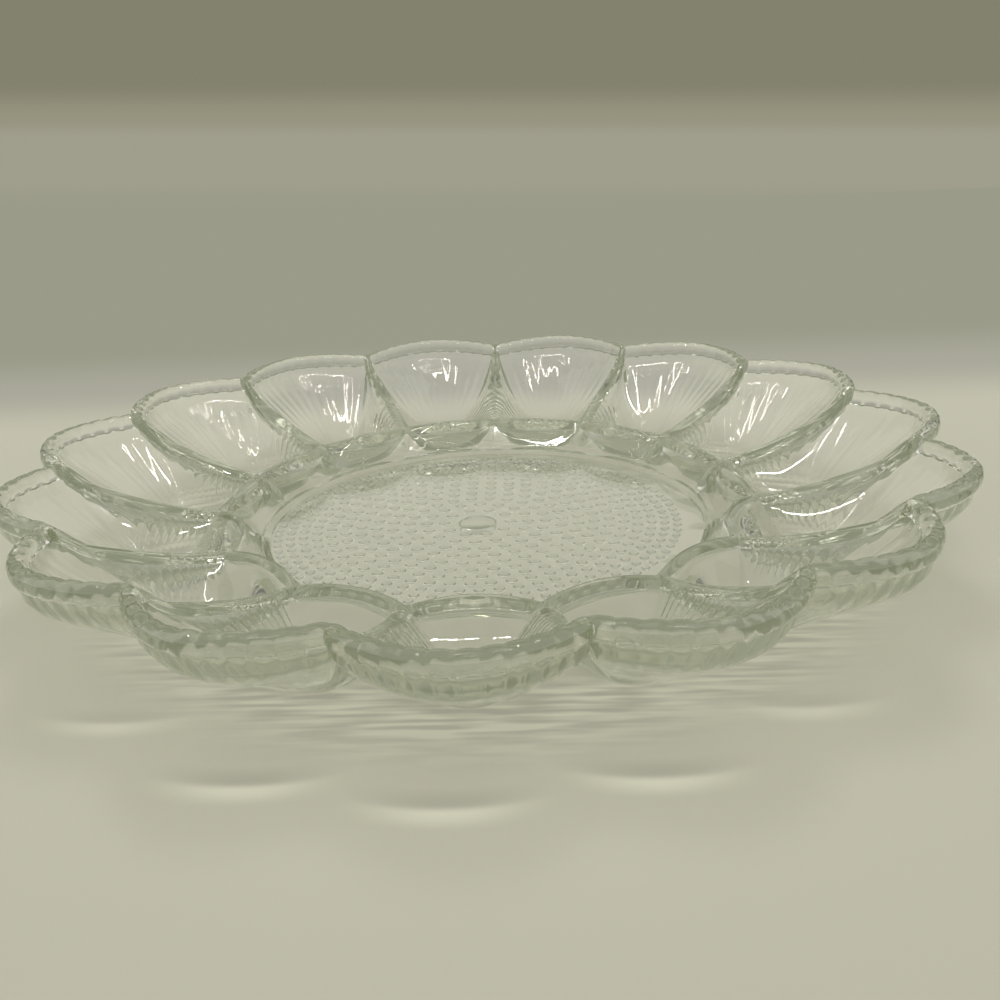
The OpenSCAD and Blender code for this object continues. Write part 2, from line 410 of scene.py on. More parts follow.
def side(line, share):
    """A point on the ribbed side, from the foot at 0 to the side's top at 1."""
    top = side_top(line)
    direction = (at_height(top, 0) - MIDDLE).normalized()
    foot = MIDDLE + direction * FOOT_R
    angle = math.atan2(direction.y, direction.x)

    def rise(s):
        return mix(ridge_side(s), lip_side(max(s, 0)), lipness(angle))

    climb = (top.z - PAD_TOP) * (rise(share) - rise(share - SLOPE_STEP))
    slope = math.atan2(climb, (at_height(top, 0) - foot).length * SLOPE_STEP)
    depth = line["groove"] * RIB_DEPTH * rib_strength(line, share)
    near_top = share**TOP_POWER
    point = mix(foot, at_height(top, 0), share)
    point -= direction * depth * math.sin(slope) * (1 - near_top)
    if on_lip(line):
        point = mix(point, at_height(top - line["outward"] * depth, 0), near_top)
    lift = depth * math.cos(slope) * (1 - near_top / 2)
    return at_height(point, mix(PAD_TOP, top.z, rise(share)) + lift)


print("ribs are up to", round(RIB_DEPTH * GROOVE_NOTCH, 4), "deep")

# %% Points round the lip's outside
BELLY = 0.4
FOOT_RIB, BELLY_RIB = 0.25, 0.45
CREST_FADE = 1.5


def lip_outside(line, share):
    """A point on the lip's outside, from the ribbed side's top at 0 to the crest at 1."""
    if share < BELLY:
        t = share / BELLY
        turn = t * math.pi / 2
        out, down = mix(LIP_FOOT, 1, math.sin(turn)) * LIP_R, mix(LIP_H, LIP_R, 1 - math.cos(turn))
        strength = mix(FOOT_RIB, BELLY_RIB, t)
    else:
        t = (1 - share) / (1 - BELLY)
        turn = t * math.pi / 2
        out, down = LIP_R * math.sin(turn), LIP_R * (1 - math.cos(turn))
        strength = BELLY_RIB * t**CREST_FADE
    depth = line["groove"] * RIB_DEPTH * strength
    return at_height(line["crest"] + line["outward"] * (out - depth), line["crest"].z - down)


belly = lip_outside(lines[LIP_RIBS * STEPS // 2], BELLY)
print("the lip reaches out to", round(belly.x, 4), "at a height of", round(belly.z, 4))

# %% [markdown]
# ## The skin of one well
#
# The well's skin could be put together from a list of faces, but it is grown here ring by ring, as
# by hand with Extrude: a circle is added, its edge is extruded, and the new ring is laid on the next
# set of points. Every vertex carries the number of its line, which Extrude hands on, so a new vertex
# always knows where to go.

# %% Start a ring and extrude it
def start_ring(name, points):
    """Adds a circle, lays its vertices on the points and numbers them."""
    bpy.ops.object.select_all(action="DESELECT")
    bpy.ops.mesh.primitive_circle_add(vertices=len(points), radius=PAD_R)
    ring = bpy.context.active_object
    ring.name = name
    bpy.ops.object.mode_set(mode="EDIT")
    bm = bmesh.from_edit_mesh(ring.data)
    column = bm.verts.layers.int.new("column")
    for number, (vert, point) in enumerate(zip(bm.verts, points)):
        vert.co = point
        vert[column] = number
    bmesh.update_edit_mesh(ring.data)
    return ring


def extrude_to(place_of):
    """Extrudes the selected edges and lays each new vertex where place_of(old place, number) says."""
    bpy.ops.mesh.extrude_edges_move()
    mesh = bpy.context.edit_object.data
    bm = bmesh.from_edit_mesh(mesh)
    column = bm.verts.layers.int.get("column")
    for vert in bm.verts:
        if vert.select:
            vert.co = place_of(vert.co, vert[column] if column else None)
    bmesh.update_edit_mesh(mesh)


def next_ring(points):
    """Extrudes the selected edges on to the points of their lines."""
    extrude_to(lambda old, number: points[number])


def close_middle(point):
    """Extrudes the selected ring and merges it to one point."""
    extrude_to(lambda old, number: point)
    bpy.ops.mesh.merge(type="CENTER")


print("a ring has", len(lines), "vertices")

# %% Select parts of a ring
def select_only(chosen_from):
    """Selects only the vertices or edges that chosen_from picks out of the mesh in edit mode."""
    mesh = bpy.context.edit_object.data
    bm = bmesh.from_edit_mesh(mesh)
    bm.verts.ensure_lookup_table()
    chosen = chosen_from(bm)
    bpy.ops.mesh.select_all(action="DESELECT")
    for element in chosen:
        element.select_set(True)
    bm.select_flush_mode()
    bmesh.update_edit_mesh(mesh)


def select_numbered(numbers):
    """Selects only the vertices with these numbers in the mesh and the edges between them."""
    select_only(lambda bm: [bm.verts[number] for number in numbers])


def keep_selected(wanted):
    """Leaves only those selected edges selected whose two lines are both wanted."""
    def chosen_from(bm):
        column = bm.verts.layers.int["column"]
        return [edge for edge in bm.edges
                if edge.select and all(vert[column] in wanted for vert in edge.verts)]
    select_only(chosen_from)


print("of a ring,", len(LIP_LINES), "vertices lie on the lip and", len(END_LINES), "on the inner end")

# %% [markdown]
# ## The collar
#
# On the real platter the wells' inner ends run together into a raised collar, which slopes down
# inside to a small step round the plate. It could be turned as a ring of its own, but its crest
# waves with the wells, so it is grown on from each well's inner end: those edges alone are extruded
# further, down to the plate above and in under the collar beneath.

# %% Sizes of the collar's slope and step
PLATE_T = 0.0036
UNDER_Z = PLATE_TOP - PLATE_T
STEP_W, STEP_H = 0.0014, 0.002
STEP_R, STEP_Z = PLATE_R + STEP_W, PLATE_TOP + STEP_H
STEP_ROUND_R = 0.0013
STEP_TURNS = (0.15, 0.5, 0.8, 1.1, 1.45)
DOME_W, DOME_H, DOME_TURN = 0.0032, 0.0018, math.radians(52)
VALLEY_W, VALLEY_H, VALLEY_TURN = 0.0052, 0.0032, math.radians(30)
COLLAR_ROUND_R = 0.0032
COLLAR_SHARES = (0.35, 0.7, 1)
SWELLS = ((0.5, 0.0002), (0.85, 0.0001))
FOOT_EASE = 0.0004
TREAD_SHARE, FALL_SHARE = 0.45, 0.6
PLATE_EDGE = ((0.0003, 0.0005), (-0.0001, 0.0001), (-0.0006, 0), (-0.0012, 0))
print("the step lies", round(STEP_R, 4), "out and", round(STEP_Z, 4), "high")

# %% Points over the collar and under it
def collar_points(line):
    """Radius and height of the points from the crest down to the plate's top."""
    crest, w = line["crest"], line["v"] ** 2
    crest_r = at_height(crest, 0).length
    foot_r, foot_z = STEP_R + mix(DOME_W, VALLEY_W, w), STEP_Z + mix(DOME_H, VALLEY_H, w)
    turn = mix(DOME_TURN, VALLEY_TURN, w)
    points = []
    for share in COLLAR_SHARES:
        points.append((crest_r - COLLAR_ROUND_R * math.sin(turn * share),
                       crest.z - COLLAR_ROUND_R * (1 - math.cos(turn * share))))
    r, z = points[-1]
    for share, swell in SWELLS:
        points.append((mix(r, foot_r, share), mix(z, foot_z, share) + swell))
    points.append((foot_r - FOOT_EASE, foot_z))
    points.append((mix(foot_r, STEP_R, TREAD_SHARE), mix(foot_z, STEP_Z, FALL_SHARE)))
    for turn in STEP_TURNS:
        points.append((STEP_R + STEP_ROUND_R * (1 - math.sin(turn)),
                       STEP_Z - STEP_ROUND_R * (1 - math.cos(turn))))
    return points + [(PLATE_R + out, PLATE_TOP + up) for out, up in PLATE_EDGE]


def under_points(line):
    """Radius and height of the points under the collar, from the side's top in to the plate."""
    top = side_top(line)
    r = at_height(top, 0).length
    return [(mix(r, PLATE_R, share), mix(top.z, UNDER_Z, share)) for share in COLLAR_SHARES]


def collar_ring(points_of, index):
    """Point number index of every line, of which only those at the well's inner end are used."""
    ring = []
    for line in lines:
        r, z = points_of(line)[index]
        ring.append(at_height(polar(r, math.atan2(line["crest"].y, line["crest"].x)), z))
    return ring


print(len(collar_points(lines[0])), "points over the collar and", len(under_points(lines[0])), "under it")

# %% The top of a well, from its lowest point to the crest and over the collar
BOWL_SHARES = [0.12, 0.24, 0.36, 0.48, 0.6, 0.71, 0.81, 0.89, 0.945, 0.98, 1]
ROUND_SHARES = [0.75, 0.5, 0.25, 0]
top = start_ring("well_top", [bowl(line, BOWL_SHARES[0]) for line in lines])
for share in BOWL_SHARES[1:]:
    next_ring([bowl(line, share) for line in lines])
for share in ROUND_SHARES:
    next_ring([rounding(line, share) for line in lines])
keep_selected(END_LINES)
for index in range(len(collar_points(lines[0]))):
    next_ring(collar_ring(collar_points, index))
select_numbered(range(len(lines)))
close_middle(at_height(BOWL_MIDDLE, FLOOR_Z))
bpy.ops.object.mode_set(mode="OBJECT")
print("top of a well:", len(top.data.polygons), "faces")

# %% The ribbed side, from the foot to the lip's crest and under the collar
SIDE_SHARES = [0.1, 0.22, 0.34, 0.46, 0.58, 0.7, 0.8, 0.88, 0.95, 1]
LIP_SHARES = [0.13, 0.27, BELLY, 0.6, 0.8, 1]
under = start_ring("well_side", [side(line, 0) for line in lines])
for share in SIDE_SHARES:
    next_ring([side(line, share) for line in lines])
last_ring = [v.index for v in bmesh.from_edit_mesh(under.data).verts if v.select]
keep_selected(LIP_LINES)
for share in LIP_SHARES:
    next_ring([lip_outside(line, share) if on_lip(line) else line["crest"] for line in lines])
select_numbered(last_ring)
keep_selected(END_LINES)
for index in range(len(under_points(lines[0]))):
    next_ring(collar_ring(under_points, index))
bpy.ops.object.mode_set(mode="OBJECT")
print("side of a well:", len(under.data.polygons), "faces")

# %% [markdown]
# ## Hobnails
#
# Hobnails are small round bosses on the underside of the plate and of each well's pad, where they
# break up the light. They could be painted on as a bump, but glass needs their real shape to bend
# light. A hobnail is the cap of a ball. It is modelled once, from a circle that is extruded towards
# the tip in a few rings, and Spin then copies it round the middle. The flat glass between the
# hobnails comes from Fill, which leaves their circles open, so that cap and flat share their edges.

# %% Model a hobnail
def on_ball(place, centre, ball_r, turn):
    """The point of a ball that is turned out from its lowest point, on the same side as a place."""
    flat = Vector((place.x - centre.x, place.y - centre.y, 0)).normalized()
    return centre + flat * ball_r * math.sin(turn) - Vector((0, 0, ball_r * math.cos(turn)))


def hobnail(place, base_r, height, sides, rings, cut=0.0):
    """Adds a cap to the mesh in edit mode, open at its base, and leaves it selected."""
    ball_r = (base_r**2 + height**2) / (2 * height)
    centre = Vector((place[0], place[1], place[2] + ball_r - height))
    base_turn, tip_turn = math.acos((ball_r - height) / ball_r), math.acos((ball_r - cut) / ball_r)
    bpy.ops.mesh.primitive_circle_add(vertices=sides, radius=base_r, location=place)
    for ring in range(1, rings + 1):
        turn = mix(base_turn, tip_turn, ring / rings)
        extrude_to(lambda old, number: on_ball(old, centre, ball_r, turn))
    if cut == 0:
        bpy.ops.mesh.merge(type="CENTER")
    else:
        bpy.ops.mesh.edge_face_add()
    bpy.ops.mesh.select_linked()


HOB_H, HOB_R = 0.0009, 0.00195
print("a hobnail is", round(2 * HOB_R, 4), "wide and", HOB_H, "high")

# %% Copy a hobnail, and find open edges
def spin_copies(count, centre=(0, 0, 0)):
    """Copies what is selected round a vertical axis, count places in all."""
    if count > 1:
        turn = math.tau * (count - 1) / count
        bpy.ops.mesh.spin(steps=count - 1, dupli=True, angle=turn, center=centre, axis=(0, 0, 1))


def select_open_edges(z):
    """Selects only the open edges that lie level at height z."""
    level = 1e-5
    select_only(lambda bm: [edge for edge in bm.edges if len(edge.link_faces) < 2
                            and all(abs(vert.co.z - z) < level for vert in edge.verts)])


print("spun in", WELLS, "places, a copy is turned", round(360 / WELLS), "degrees from the last")

# %% The edge of the plate's underside
EDGE_POINTS = WELLS * END_STEPS
FIRST_POINT = -HALF_PITCH - math.pi / 2
bpy.ops.object.select_all(action="DESELECT")
bpy.ops.mesh.primitive_circle_add(vertices=EDGE_POINTS, radius=PLATE_R, location=(0, 0, 0))
plate = bpy.context.active_object
plate.name = "plate_under"
bpy.ops.object.mode_set(mode="EDIT")
bm = bmesh.from_edit_mesh(plate.data)
for index, vert in enumerate(bm.verts):
    vert.co = at_height(polar(PLATE_R, FIRST_POINT + math.tau * index / EDGE_POINTS), UNDER_Z)
bmesh.update_edit_mesh(plate.data)
print("the plate's edge has", EDGE_POINTS, "points, on the collar's lines")

# %% Twelve rings of hobnails, a little off the middle as on the real pressing
MOULD_SHIFT = Vector((-0.0030, 0.0016, 0))
HOB_BORDER = 0.0052
HOB_RINGS = 12
RING_GAP_OUT, RING_GAP_IN = 0.0038, 0.0057
PITCH_OUT, PITCH_IN, WIDEST_FROM = 0.0043, 0.006, 0.45
HOB_GAP = 0.001
hobnails, r = 0, PLATE_R - HOB_BORDER
for ring in range(HOB_RINGS):
    inwards = ring / (HOB_RINGS - 1)
    gap = mix(RING_GAP_OUT, RING_GAP_IN, inwards)
    pitch = mix(PITCH_OUT, PITCH_IN, min(1, inwards / WIDEST_FROM))
    count = int(math.tau * r / pitch)
    stagger = (ring % 2) * math.pi / count
    place = at_height(MOULD_SHIFT + polar(r, stagger - math.pi / 2), UNDER_Z)
    hob_r = min((min(pitch, gap) - HOB_GAP) / 2, HOB_R)
    bpy.ops.mesh.select_all(action="DESELECT")
    hobnail(place, hob_r, HOB_H, sides=10, rings=3)
    spin_copies(count, MOULD_SHIFT)
    hobnails += count
    r -= gap
print(hobnails, "hobnails in", HOB_RINGS, "rings")

# %% The plain boss in the middle, and the flat glass between the hobnails
BOSS_R, BOSS_H = 0.006, 0.0022
BOSS_STEPS = ((0.85, 0.97), (0.1, 0.97), (0.05, 0.94))
boss_place = (MOULD_SHIFT.x, MOULD_SHIFT.y, UNDER_Z)
bpy.ops.mesh.select_all(action="DESELECT")
bpy.ops.mesh.primitive_circle_add(vertices=40, radius=BOSS_R, location=boss_place)
for down, size in BOSS_STEPS:
    bpy.ops.mesh.extrude_edges_move(TRANSFORM_OT_translate={"value": (0, 0, -down * BOSS_H)})
    bpy.ops.transform.resize(value=(size, size, 1), center_override=boss_place)
bpy.ops.mesh.edge_face_add()
select_open_edges(UNDER_Z)
bpy.ops.mesh.fill(use_beauty=True)
bpy.ops.object.mode_set(mode="OBJECT")
print("plate's underside:", len(plate.data.polygons), "faces")

# %% The pad under a well, with hobnails that are worn flat where they stand on the table
PAD_RINGS = 3
PAD_HOB_R = 0.00105
PAD_BORDER = 0.0003
PAD_RING_W = (PAD_R - PAD_HOB_R - PAD_BORDER) / PAD_RINGS
PAD_T = 0.0006
PAD_UNDER = PAD_TOP - PAD_T
WEAR = 0.00012
bpy.ops.object.select_all(action="DESELECT")
bpy.ops.mesh.primitive_circle_add(vertices=48, radius=PAD_R, location=(WELL_R, 0, PAD_UNDER))
pad = bpy.context.active_object
pad.name = "pad"
bpy.ops.object.transform_apply(location=True, rotation=False, scale=False)
bpy.ops.object.mode_set(mode="EDIT")
bpy.ops.mesh.select_all(action="SELECT")
bpy.ops.mesh.extrude_edges_move(TRANSFORM_OT_translate={"value": (0, 0, PAD_T)})
# The whole caps would reach down to the table, and the worn ones end just above it.
for ring in range(PAD_RINGS + 1):
    bpy.ops.mesh.select_all(action="DESELECT")
    hobnail((WELL_R + ring * PAD_RING_W, 0, PAD_UNDER), PAD_HOB_R, PAD_UNDER, sides=8, rings=2, cut=WEAR)
    spin_copies(max(1, 6 * ring), (WELL_R, 0, 0))
select_open_edges(PAD_UNDER)
bpy.ops.mesh.fill(use_beauty=True)
bpy.ops.object.mode_set(mode="OBJECT")
print("pad:", len(pad.data.polygons), "faces")

# %% [markdown]
# ## The whole pressing
#
# The real platter has no joints, so nothing may show where one well ends and the next begins. The
# well's top, side and pad are joined, copied round with Spin, joined to the plate and merged where
# they meet. Boolean unions could do this too, but they would cut the even rows of faces that smooth
# shading needs. The last open circles are the foot of each well and the plate's smooth top.

# %% Join the pieces of a well and copy it round
MERGE = 2e-6


def join(objects, name):
    """Joins objects, merges the vertices where they meet, and leaves all selected in edit mode."""
    bpy.ops.object.select_all(action="DESELECT")
    for obj in objects:
        obj.select_set(True)
    bpy.context.view_layer.objects.active = objects[0]
    bpy.ops.object.join()
    objects[0].name = name
    bpy.ops.object.mode_set(mode="EDIT")
    bpy.ops.mesh.select_all(action="SELECT")
    bpy.ops.mesh.remove_doubles(threshold=MERGE)
    return objects[0]


well = join([top, under, pad], "well")
select_open_edges(PAD_TOP)
bpy.ops.mesh.fill(use_beauty=True)
bpy.ops.mesh.select_all(action="SELECT")
bpy.ops.transform.rotate(value=math.pi / 2, orient_axis="Z", center_override=(0, 0, 0))
spin_copies(WELLS)
bpy.ops.object.mode_set(mode="OBJECT")
print(WELLS, "wells:", len(well.data.polygons), "faces")

# %% Join the plate and close the skin
SMOOTH_UNDER = math.radians(38)
platter = join([well, plate], "platter")
select_open_edges(PLATE_TOP)
bpy.ops.mesh.edge_face_add()
bpy.ops.mesh.select_all(action="SELECT")
bpy.ops.mesh.quads_convert_to_tris()
bpy.ops.mesh.normals_make_consistent(inside=False)
bpy.ops.object.mode_set(mode="OBJECT")
bpy.ops.object.select_all(action="DESELECT")
platter.select_set(True)
bpy.context.view_layer.objects.active = platter
bpy.ops.object.shade_smooth_by_angle(angle=SMOOTH_UNDER)

# %% Measure the skin
bm = bmesh.new()
bm.from_mesh(platter.data)
open_edges = sum(len(edge.link_faces) != 2 for edge in bm.edges)
volume = round(bm.calc_volume() * 1e6, 1)
print("platter:", len(bm.faces), "triangles,", open_edges, "open edges, volume", volume, "cm3")
bm.free()

# %% [markdown]
# ## Nodes
#
# The glass, the table, the wall and the room are each a small network of nodes. They could be wired
# by hand in the Shader Editor. In a script the same few kinds of node come back again and again, so
# each kind has a helper here that makes it, feeds it and hands on its output.

# %% Make and feed a node
def node_of(tree, kind, **settings):
    """A new shader node of a kind, with its settings."""
    node = tree.nodes.new("ShaderNode" + kind)
    for name, value in settings.items():
        setattr(node, name, value)
    return node


def feed(tree, socket, value):
    """Gives a socket a number, or links another node's output to it."""
    if isinstance(value, (int, float)):
        socket.default_value = value
    else:
        tree.links.new(value, socket)


def math_of(tree, operation, *values, clamp=False):
    """The result of a Math node on these values."""
    node = node_of(tree, "Math", operation=operation, use_clamp=clamp)
    for socket, value in zip(node.inputs, values):
        feed(tree, socket, value)
    return node.outputs[0]


def shader_mix(tree, factor, first, second):
    """One surface where the factor is 0 and another where it is 1."""
    node = node_of(tree, "MixShader")
    feed(tree, node.inputs["Fac"], factor)
    tree.links.new(first, node.inputs[1])
    tree.links.new(second, node.inputs[2])
    return node.outputs["Shader"]


print("helpers for nodes, math and mixed surfaces")

# %% [markdown]
# ## Glass
#
# Clear pressed glass has a faint grey-green body that shows only where light goes through a lot of
# it. A tinted surface would colour a thin plate as much as a thick lip, so the colour is absorbed
# inside the volume instead. Two light paths need help. Light through the thick lips and ridges
# bounces many times, and a renderer that gives up on it leaves black bars, where the real glass
# still shows the room. So a path that is too deep ends in a soft green-grey glow. And a glass
# surface blocks a lamp's light altogether, where the real platter casts only a pale shadow. So a ray
# that looks for a lamp goes straight through, and is dimmed a little.

# %% The glass and its body colour
BODY_COLOUR = (0.66, 0.70, 0.52)
BODY_DENSITY = 14
glass = bpy.data.materials.new("pressed_glass")
glass.use_nodes = True
tree = glass.node_tree
shader, output = tree.nodes["Principled BSDF"], tree.nodes["Material Output"]
shader.inputs["Base Color"].default_value = (1, 1, 1, 1)
shader.inputs["Roughness"].default_value = 0.0
shader.inputs["IOR"].default_value = 1.5
shader.inputs["Transmission Weight"].default_value = 1.0
body = node_of(tree, "VolumeAbsorption")
body.inputs["Color"].default_value = (*BODY_COLOUR, 1)
body.inputs["Density"].default_value = BODY_DENSITY
tree.links.new(body.outputs["Volume"], output.inputs["Volume"])
print("green light left after 1 cm:", round(math.exp(-BODY_DENSITY * (1 - BODY_COLOUR[1]) / 100), 3))

# %% Deep paths and shadows
DEEP = 4
DEEP_GLOW = 0.265
DEEP_COLOUR = (0.93, 1.0, 0.68)
DEEP_SHARE = 0.85
SHADOW_COLOUR = (0.885, 0.885, 0.875)
ray = node_of(tree, "LightPath").outputs
glow = node_of(tree, "Emission")
glow.inputs["Color"].default_value = (*DEEP_COLOUR, 1)
glow.inputs["Strength"].default_value = DEEP_GLOW
straight = node_of(tree, "BsdfTransparent")
shadow = node_of(tree, "BsdfTransparent")
shadow.inputs["Color"].default_value = (*SHADOW_COLOUR, 1)
# Most of a deep path's light is the glow, and the rest goes straight on.
deep_end = shader_mix(tree, DEEP_SHARE, straight.outputs[0], glow.outputs[0])
is_deep = math_of(tree, "GREATER_THAN", ray["Ray Depth"], DEEP)
surface = shader_mix(tree, is_deep, shader.outputs["BSDF"], deep_end)
surface = shader_mix(tree, ray["Is Shadow Ray"], surface, shadow.outputs[0])
tree.links.new(surface, output.inputs["Surface"])
# The glow only fills in for the room, so it isn't taken for a lamp.
glass.cycles.emission_sampling = "NONE"
print("paths of more than", DEEP, "bounces end in the glow")

# %% Give the platter its glass
platter.data.materials.clear()
platter.data.materials.append(glass)
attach(platter, "root")
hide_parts(*[name for name in frame["nodes"] if name != "root"])
print("the skin stands for", sum(name != "root" for name in frame["nodes"]), "nodes")

# %% [markdown]
# ## Table and wall
#
# The platter stands on a pale matt table, whose far edge and the wall behind it are out of focus. The
# camera could blur them, but a colour that fades along one axis gives the same soft bands without
# noise. So the table is matt and lit near the platter and a flat colour to the eye further off, and
# the wall is a flat colour to the eye all over. The glass also gathers light into fine streaks and
# level crescents on the table. Working these out takes far too many light paths, so they are painted
# into the table's colour, where the real ones lie.

# %% Values that change along the table or wall
def ranged(tree, value, low, high, kind="SMOOTHSTEP", results=(0.0, 1.0)):
    """A value brought to 0 at low and 1 at high, or to other results, and held level outside."""
    node = node_of(tree, "MapRange", interpolation_type=kind)
    for name, number in zip(("From Min", "From Max", "To Min", "To Max"), (low, high, *results)):
        node.inputs[name].default_value = number
    feed(tree, node.inputs["Value"], value)
    return node.outputs["Result"]


def ramp_of(tree, value, stops):
    """A colour that changes with a value, from stops of (value, colour)."""
    low, high = stops[0][0], stops[-1][0]
    ramp = node_of(tree, "ValToRGB")
    feed(tree, ramp.inputs["Fac"], ranged(tree, value, low, high, kind="LINEAR"))
    ramp.color_ramp.interpolation = "EASE"
    while len(ramp.color_ramp.elements) < len(stops):
        ramp.color_ramp.elements.new(0.5)
    for element, (place, colour) in zip(ramp.color_ramp.elements, stops):
        element.position = (place - low) / (high - low)
        element.color = (*colour, 1)
    return ramp.outputs["Color"]


def band(tree, value, start, peak, end):
    """A soft hill over a value: 0 up to start, 1 at peak and 0 again from end on."""
    return math_of(tree, "MULTIPLY", ranged(tree, value, start, peak), ranged(tree, value, end, peak))


def lit_by(tree, colour, strength):
    """A colour made brighter or darker by a strength."""
    lit = node_of(tree, "VectorMath", operation="SCALE")
    tree.links.new(colour, lit.inputs[0])
    feed(tree, lit.inputs["Scale"], strength)
    return lit.outputs["Vector"]


print("helpers for ranges, ramps and bands")

# %% Crescents that the wells throw forwards on the table
CAST_MIDDLE = (-0.0035, -0.0337, 0)
CAST_R = 0.1055
CAST_BEND = 9
CAST_WIDTH = 0.024
CAST_FRONT = (0.045, 0.085)
# Each row says where a band starts, peaks and ends along a crescent, and how much light it adds.
CRESCENTS = [
    (-0.034, -0.014, 0.006, -0.035),
    (-0.0095, -0.0035, -0.0003, -0.15),
    (-0.0026, 0, 0.006, 0.3),
]


def with_crescents(tree, place, colour):
    """The table's colour with painted shade and painted light in level crescents in front of each well.
    """
    spot = node_of(tree, "VectorMath", operation="SUBTRACT")
    tree.links.new(place, spot.inputs[0])
    spot.inputs[1].default_value = CAST_MIDDLE
    axes = node_of(tree, "SeparateXYZ")
    tree.links.new(spot.outputs[0], axes.inputs[0])
    across, forwards = axes.outputs["X"], math_of(tree, "MULTIPLY", axes.outputs["Y"], -1)
    angle = math_of(tree, "ARCTAN2", across, forwards)
    number = math_of(tree, "ROUND", math_of(tree, "DIVIDE", angle, 2 * HALF_PITCH))
    turn = math_of(tree, "MULTIPLY", number, 2 * HALF_PITCH)
    beside = math_of(tree, "MULTIPLY_ADD", math_of(tree, "SINE", turn), -CAST_R, across)
    beyond = math_of(tree, "MULTIPLY_ADD", math_of(tree, "COSINE", turn), -CAST_R, forwards)
    bend = math_of(tree, "MULTIPLY", beside, beside)
    level = math_of(tree, "MULTIPLY_ADD", bend, CAST_BEND, beyond)
    wide = band(tree, beside, -CAST_WIDTH, 0, CAST_WIDTH)
    here = math_of(tree, "MULTIPLY", wide, ranged(tree, forwards, *CAST_FRONT))
    strength = 1.0
    for start, peak, end, amount in CRESCENTS:
        hill = math_of(tree, "MULTIPLY", band(tree, level, start, peak, end), here)
        strength = math_of(tree, "MULTIPLY_ADD", hill, amount, strength)
    return lit_by(tree, colour, strength)


print(len(CRESCENTS), "bands of light and shade to a crescent")

# %% Streaks that the ribs gather round the platter
STREAK_SCALE = (50, 360, 1)
STREAK_NOISE = (0.38, 0.62)
STREAK_LIGHT = (0.86, 1.26)
STREAK_START, STREAK_FULL_FROM, STREAK_FULL_TO, STREAK_END = 0.085, 0.098, 0.1, 0.128


def with_streaks(tree, place, colour):
    """The table's colour with painted light and shade in short level streaks in a ring round the
    platter's foot.
    """
    stretch = node_of(tree, "Mapping")
    stretch.inputs["Scale"].default_value = STREAK_SCALE
    tree.links.new(place, stretch.inputs["Vector"])
    noise = node_of(tree, "TexNoise")
    noise.inputs["Scale"].default_value = 1.0
    noise.inputs["Detail"].default_value = 1.0
    tree.links.new(stretch.outputs["Vector"], noise.inputs["Vector"])
    away = node_of(tree, "VectorMath", operation="LENGTH")
    tree.links.new(place, away.inputs[0])
    inner = ranged(tree, away.outputs["Value"], STREAK_START, STREAK_FULL_FROM)
    outer = ranged(tree, away.outputs["Value"], STREAK_END, STREAK_FULL_TO)
    strength = ranged(tree, noise.outputs["Fac"], *STREAK_NOISE, kind="LINEAR", results=STREAK_LIGHT)
    amount = node_of(tree, "Mix", data_type="FLOAT")
    tree.links.new(math_of(tree, "MULTIPLY", inner, outer), amount.inputs["Factor"])
    amount.inputs["A"].default_value = 1.0
    tree.links.new(strength, amount.inputs["B"])
    return lit_by(tree, colour, amount.outputs["Result"])


print("streaks lie from", STREAK_START, "to", STREAK_END, "from the middle")

# %% A material that is lit nearby and a flat colour to the eye further off
MATT = 0.9


def seen_by_eye(tree):
    """1 for rays from the camera and through or off the glass, 0 for rays that light the scene."""
    ray = node_of(tree, "LightPath").outputs
    direct = math_of(tree, "MAXIMUM", ray["Is Camera Ray"], ray["Is Glossy Ray"])
    return math_of(tree, "MAXIMUM", direct, ray["Is Transmission Ray"])


def stage_material(name, axis, lit_stops, flat_stops, flat_from, flat_to, tilt=0.0, cast=False):
    """Matt and lit where the axis is below flat_from, and a flat colour to the eye beyond flat_to."""
    material = bpy.data.materials.new(name)
    material.use_nodes = True
    tree = material.node_tree
    shader = tree.nodes["Principled BSDF"]
    shader.inputs["Roughness"].default_value = MATT
    shader.inputs["Specular IOR Level"].default_value = 0.0
    place = node_of(tree, "TexCoord").outputs["Object"]
    axes = node_of(tree, "SeparateXYZ")
    tree.links.new(place, axes.inputs[0])
    along = axes.outputs[axis]
    if tilt:
        along = math_of(tree, "MULTIPLY_ADD", axes.outputs["X"], tilt, along)
    colour = ramp_of(tree, along, lit_stops)
    # With cast, painted light and shade go into the table's colour: the streaks and crescents that the
    # glass gathers.
    if cast:
        colour = with_crescents(tree, place, with_streaks(tree, place, colour))
    tree.links.new(colour, shader.inputs["Base Color"])
    flat = node_of(tree, "Emission")
    tree.links.new(ramp_of(tree, along, flat_stops), flat.inputs["Color"])
    share = math_of(tree, "MULTIPLY", ranged(tree, along, flat_from, flat_to), seen_by_eye(tree))
    surface = shader_mix(tree, share, shader.outputs["BSDF"], flat.outputs[0])
    tree.links.new(surface, tree.nodes["Material Output"].inputs["Surface"])
    return material


print("the table's roughness is", MATT)

# %% The table
TABLE = (0.59, 0.587, 0.48)
EDGE = (0.40, 0.395, 0.325)
FAR = (0.328, 0.328, 0.254)
TABLE_SIZE, TABLE_PLACE = (6, 2.6, 1), (0, -0.3, 0)
TABLE_STOPS = [(0.1, EDGE), (0.2, EDGE), (0.3, FAR), (1, FAR)]
TABLE_FLAT_FROM, TABLE_FLAT_TO = 0.13, 0.21
bpy.ops.object.select_all(action="DESELECT")
bpy.ops.mesh.primitive_plane_add(size=1)
floor = bpy.context.active_object
floor.name = "floor"
floor.scale = TABLE_SIZE
floor.location = TABLE_PLACE
bpy.ops.object.transform_apply(location=True, rotation=True, scale=True)
floor.data.materials.append(stage_material("table", "Y", [(-1, TABLE), (1, TABLE)], TABLE_STOPS,
                                           TABLE_FLAT_FROM, TABLE_FLAT_TO, cast=True))
print("table:", [round(v, 2) for v in floor.dimensions])

